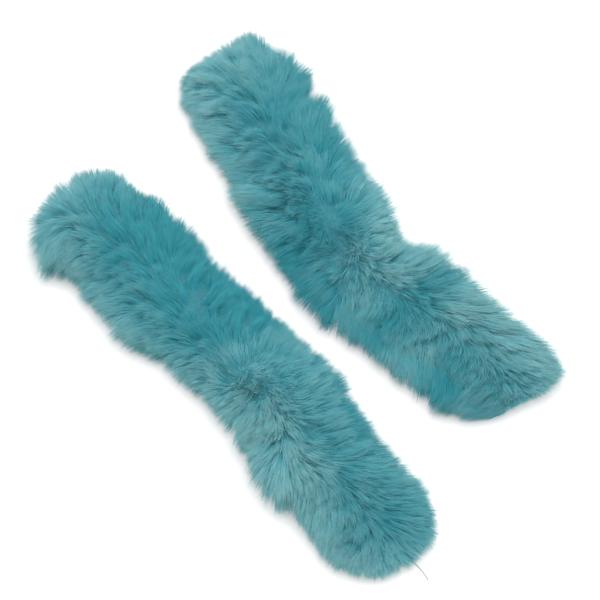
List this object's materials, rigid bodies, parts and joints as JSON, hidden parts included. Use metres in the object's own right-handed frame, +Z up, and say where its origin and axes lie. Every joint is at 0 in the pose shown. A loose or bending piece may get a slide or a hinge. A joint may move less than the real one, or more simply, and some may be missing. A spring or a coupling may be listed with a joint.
{
  "type": "faux-fur cuff pair",
  "caption": "Pair of limp, lined strips of long-pile teal faux fur with press studs under the lining, worn as detachable sleeve cuffs.",
  "frame": {"origin": "on the floor, under the middle of the pair's box", "axes": "+X along the strips, +Y from the left strip to the right one, +Z up out of the floor"},
  "size_m": [0.4309, 0.2608, 0.0235],
  "materials": {
    "fur": "matte",
    "fur_backing": "matte",
    "lining": "satin",
    "wadding": "matte",
    "thread": "satin",
    "nickel": "polished"
  },
  "bodies": {
    "left_cuff": {"left_fur_pile": "fur", "left_fur_backing": "fur_backing", "left_interlining": "wadding", "left_lining": "lining", "left_lining_stitching": "thread", "left_press_stud_1": "nickel", "left_press_stud_2": "nickel", "left_press_stud_3": "nickel", "left_press_stud_4": "nickel", "left_stud_stay_1": "wadding", "left_stud_stay_2": "wadding", "left_stud_stay_3": "wadding", "left_stud_stay_4": "wadding", "left_stud_stitching_1": "thread", "left_stud_stitching_2": "thread", "left_stud_stitching_3": "thread", "left_stud_stitching_4": "thread", "left_thread_tail": "thread"},
    "right_cuff": {"right_fur_pile": "fur", "right_fur_backing": "fur_backing", "right_interlining": "wadding", "right_lining": "lining", "right_lining_stitching": "thread", "right_press_stud_1": "nickel", "right_press_stud_2": "nickel", "right_press_stud_3": "nickel", "right_press_stud_4": "nickel", "right_stud_stay_1": "wadding", "right_stud_stay_2": "wadding", "right_stud_stay_3": "wadding", "right_stud_stay_4": "wadding", "right_stud_stitching_1": "thread", "right_stud_stitching_2": "thread", "right_stud_stitching_3": "thread", "right_stud_stitching_4": "thread"}
  },
  "joints": [
    {"name": "right_cuff_slide", "type": "slide", "parent": "left_cuff", "child": "right_cuff", "axis": [0, 1, 0], "range_m": [0, 0.25]}
  ]
}
